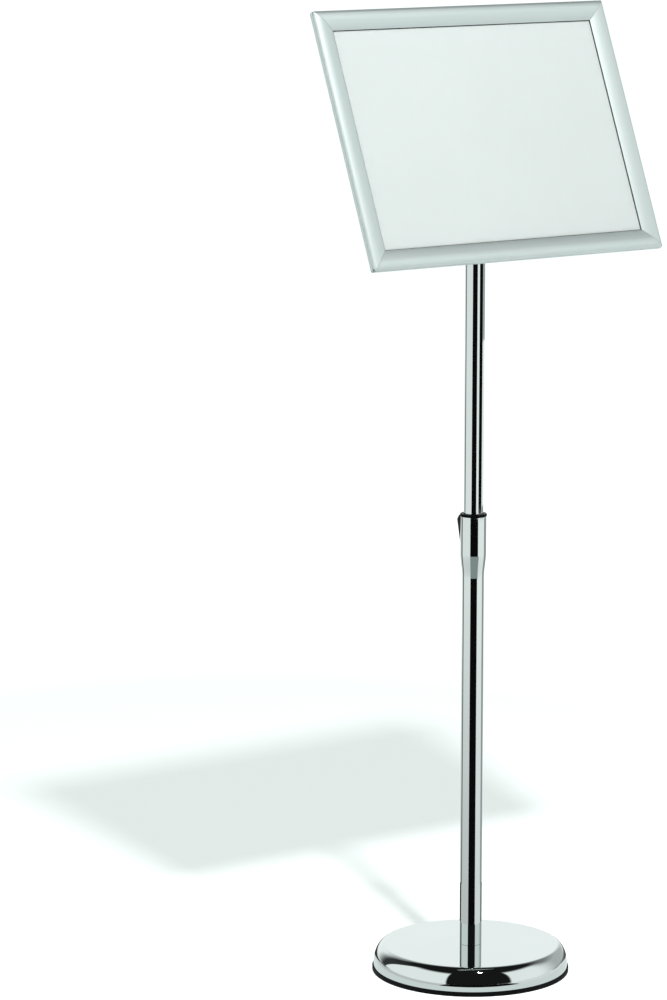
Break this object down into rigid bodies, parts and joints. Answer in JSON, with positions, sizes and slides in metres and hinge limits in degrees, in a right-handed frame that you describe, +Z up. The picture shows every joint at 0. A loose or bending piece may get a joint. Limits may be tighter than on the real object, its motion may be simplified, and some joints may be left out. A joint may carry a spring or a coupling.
{
  "type": "sign stand",
  "caption": "Free-standing sign stand: round weighted base, telescopic pole with a press release lever, and a tilting, turning snap frame for a landscape sheet.",
  "frame": {"origin": "centre of the base's underside, on the pole axis, at floor level", "axes": "+Z up along the pole, the sign faces -Y and leans back, +X to the right seen from the front"},
  "size_m": [0.45, 0.25, 1.2202],
  "materials": {
    "chrome": "mirror polished chrome plate",
    "iron": "raw cast, black dipped",
    "rubber": "matte",
    "zinc": "zinc plated",
    "steel": "bright steel",
    "nylon": "satin moulded nylon",
    "gloss_black": "gloss moulded",
    "lever_black": "satin moulded",
    "black_paint": "satin black powder coat",
    "anodised": "satin silver anodised",
    "back_plastic": "matte light grey polystyrene",
    "paper": "matt white sheet",
    "film": "clear anti-glare film"
  },
  "bodies": {
    "root": {"base_cover": "chrome", "base_weight": "iron", "base_edge_ring": "rubber", "base_underside_pad": "rubber", "base_bolt": "zinc", "base_washer": "zinc", "tube_foot_plug": "zinc", "lower_tube": "chrome", "guide_sleeve": "nylon", "collar_ring": "gloss_black", "lever_pin": "steel", "lever_spring": "steel"},
    "lever": {"release_lever": "lever_black", "brake_pad": "rubber"},
    "carriage": {"lower_guide_bush": "nylon", "bush_retaining_washer": "zinc"},
    "mast": {"upper_tube": "chrome", "tube_end_plug": "nylon", "neck_plug": "nylon", "neck_cross_pin": "steel"},
    "tilt_head": {"tilt_fork": "black_paint", "tilt_friction_washers": "nylon", "tilt_bolt": "zinc", "tilt_nut": "zinc", "turn_friction_disc": "nylon", "turn_bolt": "zinc", "turn_nut": "zinc", "turn_spring_washer": "steel"},
    "panel": {"mount_plate": "black_paint", "mount_screws": "zinc", "back_panel": "back_plastic", "rear_rail_bottom": "anodised", "rear_rail_right": "anodised", "rear_rail_top": "anodised", "rear_rail_left": "anodised", "rail_springs_bottom": "steel", "rail_springs_right": "steel", "rail_springs_top": "steel", "rail_springs_left": "steel", "corner_keys": "nylon", "poster_sheet": "paper", "cover_film": "film"},
    "rail_bottom": {"front_rail_bottom": "anodised", "lip_seal_bottom": "rubber"},
    "rail_right": {"front_rail_right": "anodised", "lip_seal_right": "rubber"},
    "rail_top": {"front_rail_top": "anodised", "lip_seal_top": "rubber"},
    "rail_left": {"front_rail_left": "anodised", "lip_seal_left": "rubber"}
  },
  "joints": [
    {"name": "lever_press", "type": "hinge", "parent": "root", "child": "lever", "pos_m": [-0.00762, 0.01108, 0.553], "axis": [0.8241, 0.5664, 0], "range_deg": [0, 5], "stiffness_Nm_per_rad": 0.5, "springref_deg": -8.59, "deforming": ["lever_spring"]},
    {"name": "height_slide", "type": "slide", "parent": "root", "child": "carriage", "axis": [0, 0, 1], "range_m": [-0.38, 0.03]},
    {"name": "mast_swivel", "type": "hinge", "parent": "carriage", "child": "mast", "pos_m": [0, 0, 0.46], "axis": [0, 0, 1], "continuous": true},
    {"name": "sign_tilt", "type": "hinge", "parent": "mast", "child": "tilt_head", "pos_m": [0, 0, 1.057], "axis": [-1, 0, 0], "range_deg": [-22.6, 67.4]},
    {"name": "format_turn", "type": "hinge", "parent": "tilt_head", "child": "panel", "pos_m": [0, -0.024, 1.06699], "axis": [0, -0.9232, 0.3843], "range_deg": [0, 90]},
    {"name": "bottom_rail_open", "type": "hinge", "parent": "panel", "child": "rail_bottom", "pos_m": [0, -0.09187, 0.91955], "axis": [1, 0, 0], "range_deg": [0, 95]},
    {"name": "right_rail_open", "type": "hinge", "parent": "panel", "child": "rail_right", "pos_m": [0.2237, -0.02954, 1.0693], "axis": [0, 0.3843, 0.9232], "range_deg": [0, 95]},
    {"name": "top_rail_open", "type": "hinge", "parent": "panel", "child": "rail_top", "pos_m": [0, 0.03279, 1.21904], "axis": [-1, 0, 0], "range_deg": [0, 95]},
    {"name": "left_rail_open", "type": "hinge", "parent": "panel", "child": "rail_left", "pos_m": [-0.2237, -0.02954, 1.0693], "axis": [0, -0.3843, -0.9232], "range_deg": [0, 95]}
  ]
}
